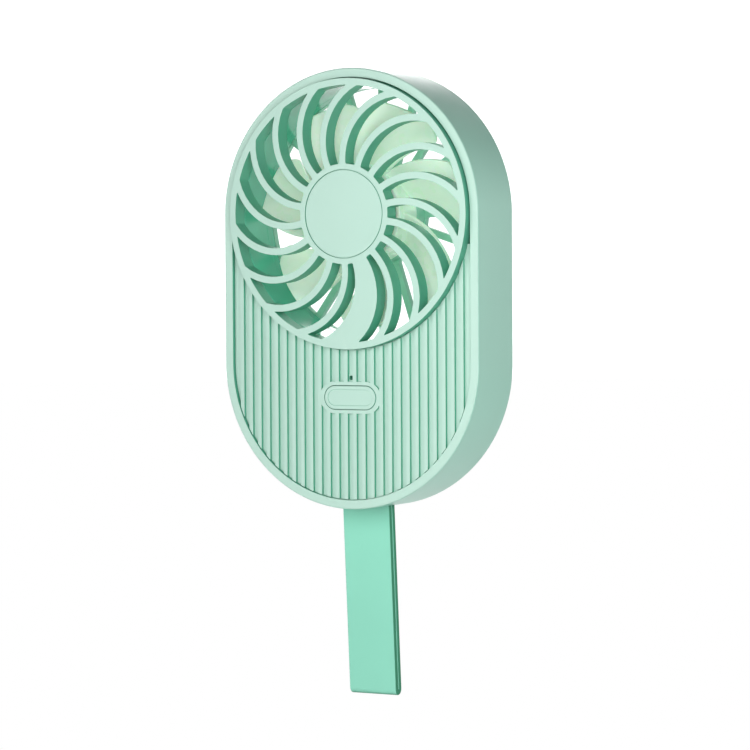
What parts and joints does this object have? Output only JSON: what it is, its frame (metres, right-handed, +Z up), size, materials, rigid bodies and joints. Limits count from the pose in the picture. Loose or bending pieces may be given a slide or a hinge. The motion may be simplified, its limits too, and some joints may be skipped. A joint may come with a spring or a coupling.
{
  "type": "handheld electric fan",
  "caption": "Pocket fan with an oval body, ribbed front, swept-spoke outlet grille, radial intake grille, push button and silicone wrist strap.",
  "frame": {"origin": "where the fan's axis meets the flat back, in the middle of the rear hub", "axes": "+Y out of the flat back along the fan's axis, the grille faces -Y, +Z up along the body towards the fan end, the strap hangs towards -Z"},
  "size_m": [0.075, 0.0224, 0.1629],
  "materials": {
    "satin_side": "satin",
    "mint_plastic": "satin",
    "teal_plastic": "satin",
    "fan_plastic": "satin",
    "silicone": "matte",
    "steel": "satin",
    "brass": "satin",
    "bronze": "matte",
    "copper": "satin",
    "magnet": "matte",
    "board": "satin",
    "black_plastic": "matte",
    "ivory_plastic": "satin",
    "red_insulation": "satin",
    "black_insulation": "satin",
    "cell_wrap": "satin",
    "foam": "matte",
    "lamp": "glossy",
    "clear_plastic": "glossy"
  },
  "bodies": {
    "body": {"housing": "satin_side", "front_panel": "mint_plastic", "front_grille": "mint_plastic", "hub_cap": "mint_plastic", "duct_ring": "teal_plastic", "rear_cover": "teal_plastic", "motor_board": "board", "bearing_tube": "brass", "front_bearing": "bronze", "rear_bearing": "bronze", "stator_core": "steel", "control_board": "board", "switch_body": "black_plastic", "pilot_lamp": "lamp", "light_pipe": "clear_plastic", "charge_chip": "black_plastic", "charge_socket": "steel", "battery": "cell_wrap", "battery_pad": "foam", "motor_lead_1": "black_insulation", "motor_lead_2": "red_insulation", "battery_lead_1": "black_insulation", "battery_lead_2": "red_insulation", "strap_pin": "steel", "board_screw_1": "steel", "board_screw_2": "steel", "stator_coil_1": "copper", "stator_coil_2": "copper", "stator_coil_3": "copper", "stator_coil_4": "copper", "stator_coil_5": "copper", "stator_coil_6": "copper", "cover_screw_1": "steel", "cover_screw_2": "steel", "cover_screw_3": "steel", "cover_screw_4": "steel"},
    "rotor": {"fan_rotor": "fan_plastic", "rotor_yoke": "steel", "rotor_magnet": "magnet", "motor_shaft": "steel", "shaft_clip": "steel"},
    "button": {"button_cap": "mint_plastic"},
    "plunger": {"switch_plunger": "ivory_plastic"},
    "strap": {"strap": "silicone"}
  },
  "joints": [
    {"name": "rotor_spin", "type": "hinge", "parent": "body", "child": "rotor", "pos_m": [0, 0, 0], "axis": [0, 1, 0], "continuous": true},
    {"name": "button_press", "type": "slide", "parent": "body", "child": "button", "axis": [0, 1, 0], "range_m": [0, 0.0004], "stiffness_N_per_m": 600, "springref_m": -0.0005},
    {"name": "plunger_press", "type": "slide", "parent": "body", "child": "plunger", "axis": [0, 1, 0], "range_m": [0, 0.0004]},
    {"name": "strap_swing", "type": "hinge", "parent": "body", "child": "strap", "pos_m": [0, -0.0099, -0.07195], "axis": [1, 0, 0], "range_deg": [-15.8, 8.2]}
  ],
  "couplings": [
    {"joint": "plunger_press", "follows": "button_press", "ratio": 1}
  ]
}
